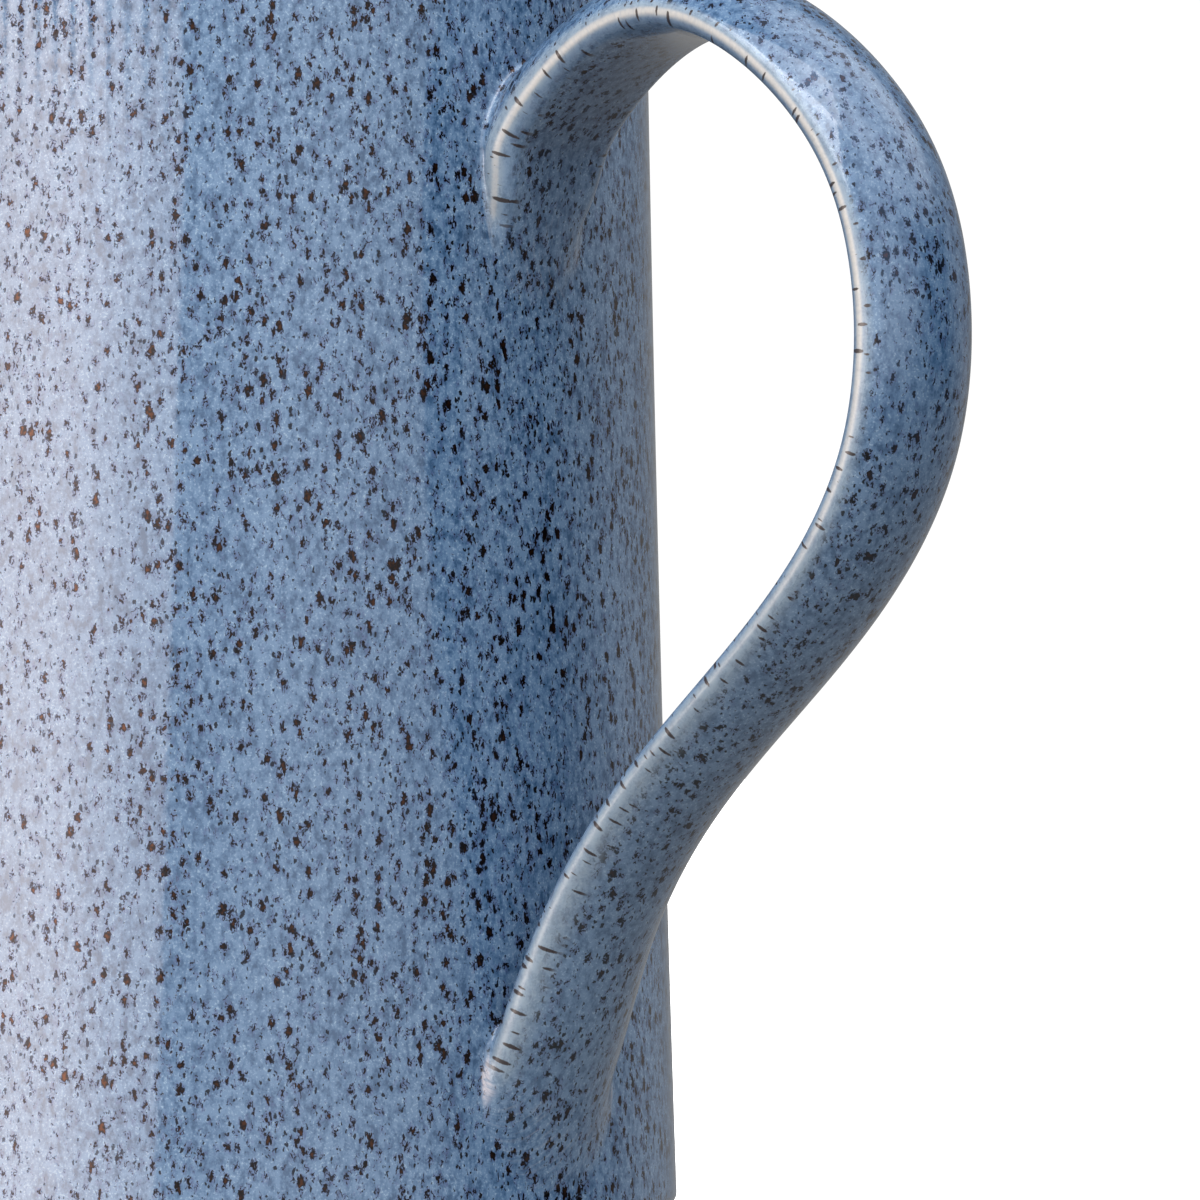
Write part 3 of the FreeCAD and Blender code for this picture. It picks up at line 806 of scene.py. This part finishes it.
# Brightness of the studio's walls round the mug: (share of a half turn from the fill
# card's direction as (cosine + 1) / 2, radiance), chosen by trial against the photo.
WALLS = (
    (0.0, 0.30), (0.10, 0.30), (0.23, 0.50), (0.305, 0.46), (0.415, 0.30), (0.53, 0.0),
    (0.63, 0.01), (0.72, 0.10), (0.808, 0.48), (0.899, 1.30), (0.960, 1.68), (1.0, 2.1),
)
BRIGHTEST = 2.1
FLOOR_GLOW = 0.40
# the plain pale backdrop that only the camera sees
BACKDROP_GLOW = 1.05
CARD_AZIMUTH = 11.0
CARD_LEAN = 3.0
CARD_LEAN_REACH = 0.06
# a wide soft panel high up at the right: direction, radiance, and its angular edges
PANEL_AZIMUTH = 95.0
PANEL_UP = 58.0
PANEL_RADIANCE = 2.2
PANEL_OUTER = 43.0
PANEL_INNER = 20.0


def make_world():
    world = bpy.data.worlds.new("studio")
    bpy.context.scene.world = world
    world.use_nodes = True
    tree = world.node_tree
    tree.nodes.clear()
    new = tree.nodes.new
    link = tree.links.new
    out = new("ShaderNodeOutputWorld")
    where = new("ShaderNodeTexCoord").outputs["Generated"]
    split = new("ShaderNodeSeparateXYZ")
    link(where, split.inputs[0])
    tilt = new("ShaderNodeClamp")
    link(split.outputs["Z"], tilt.inputs["Value"])
    tilt.inputs["Min"].default_value = -CARD_LEAN_REACH
    tilt.inputs["Max"].default_value = CARD_LEAN_REACH
    shift = new("ShaderNodeVectorMath")
    shift.operation = "SCALE"
    shift.inputs[0].default_value = direction(90.0) * -CARD_LEAN
    link(tilt.outputs[0], shift.inputs["Scale"])
    flat = new("ShaderNodeVectorMath")
    flat.operation = "MULTIPLY"
    link(where, flat.inputs[0])
    flat.inputs[1].default_value = (1.0, 1.0, 0.0)
    level = new("ShaderNodeVectorMath")
    level.operation = "ADD"
    link(flat.outputs[0], level.inputs[0])
    link(shift.outputs[0], level.inputs[1])
    unit = new("ShaderNodeVectorMath")
    unit.operation = "NORMALIZE"
    link(level.outputs[0], unit.inputs[0])
    dot = new("ShaderNodeVectorMath")
    dot.operation = "DOT_PRODUCT"
    link(unit.outputs[0], dot.inputs[0])
    dot.inputs[1].default_value = direction(CARD_AZIMUTH)
    share = new("ShaderNodeMapRange")
    link(dot.outputs["Value"], share.inputs["Value"])
    share.inputs["From Min"].default_value = -1.0
    ramp = new("ShaderNodeValToRGB")
    link(share.outputs["Result"], ramp.inputs["Fac"])
    stops = ramp.color_ramp.elements
    while len(stops) < len(WALLS):
        stops.new(0.5)
    for stop, (place, radiance) in zip(stops, WALLS):
        stop.position = place
        stop.color = (radiance / BRIGHTEST,) * 3 + (1.0,)
    height = new("ShaderNodeMapRange")
    height.interpolation_type = "SMOOTHSTEP"
    link(split.outputs["Z"], height.inputs["Value"])
    height.inputs["From Min"].default_value = -0.30
    height.inputs["From Max"].default_value = -0.05
    below = new("ShaderNodeBackground")
    below.inputs["Color"].default_value = (1.0, 1.0, 1.0, 1.0)
    below.inputs["Strength"].default_value = FLOOR_GLOW
    walls = new("ShaderNodeBackground")
    link(ramp.outputs["Color"], walls.inputs["Color"])
    walls.inputs["Strength"].default_value = BRIGHTEST
    towards_panel = new("ShaderNodeVectorMath")
    towards_panel.operation = "DOT_PRODUCT"
    link(where, towards_panel.inputs[0])
    towards_panel.inputs[1].default_value = direction(PANEL_AZIMUTH, PANEL_UP)
    glow = new("ShaderNodeMapRange")
    glow.interpolation_type = "SMOOTHSTEP"
    link(towards_panel.outputs["Value"], glow.inputs["Value"])
    glow.inputs["From Min"].default_value = math.cos(math.radians(PANEL_OUTER))
    glow.inputs["From Max"].default_value = math.cos(math.radians(PANEL_INNER))
    glow.inputs["To Max"].default_value = PANEL_RADIANCE
    panel = new("ShaderNodeBackground")
    panel.inputs["Color"].default_value = (1.0, 1.0, 1.0, 1.0)
    link(glow.outputs["Result"], panel.inputs["Strength"])
    above = new("ShaderNodeAddShader")
    link(walls.outputs[0], above.inputs[0])
    link(panel.outputs[0], above.inputs[1])
    room = new("ShaderNodeMixShader")
    link(height.outputs["Result"], room.inputs["Fac"])
    link(below.outputs[0], room.inputs[1])
    link(above.outputs[0], room.inputs[2])
    seen = new("ShaderNodeBackground")
    seen.inputs["Color"].default_value = (1.0, 1.0, 1.0, 1.0)
    seen.inputs["Strength"].default_value = BACKDROP_GLOW
    path = new("ShaderNodeLightPath")
    mix = new("ShaderNodeMixShader")
    link(path.outputs["Is Camera Ray"], mix.inputs["Fac"])
    link(room.outputs[0], mix.inputs[1])
    link(seen.outputs[0], mix.inputs[2])
    link(mix.outputs[0], out.inputs["Surface"])


def make_camera():
    data = bpy.data.cameras.new("camera")
    data.sensor_width = SENSOR
    data.lens = SENSOR * EYE_DISTANCE / FRAME_WIDTH
    data.clip_start = 0.01
    data.clip_end = 50.0
    camera = bpy.data.objects.new("camera", data)
    camera.location = RIGHT * AIM_RIGHT + TOWARDS * EYE_DISTANCE + Vector((0, 0, EYE_HEIGHT))
    camera.rotation_mode = "QUATERNION"
    camera.rotation_quaternion = TOWARDS.to_track_quat("Z", "Y")
    bpy.context.scene.collection.objects.link(camera)
    bpy.context.scene.camera = camera


make_floor()
make_world()
make_camera()
MIDDLE = Vector((0, 0, 0.066))
for index, radiance in enumerate(STRIP_RADIANCE):
    strip_light(index, radiance)
area_light("softbox_front", MIDDLE + direction(-30, 50) * 1.3, MIDDLE, 1.2, 0.8, 6.8)
area_light("softbox_top", MIDDLE + direction(-10, 70) * 1.2, MIDDLE, 0.8, 0.5, 4.0)

view = bpy.context.scene.view_settings
view.view_transform = "Standard"
view.look = "None"
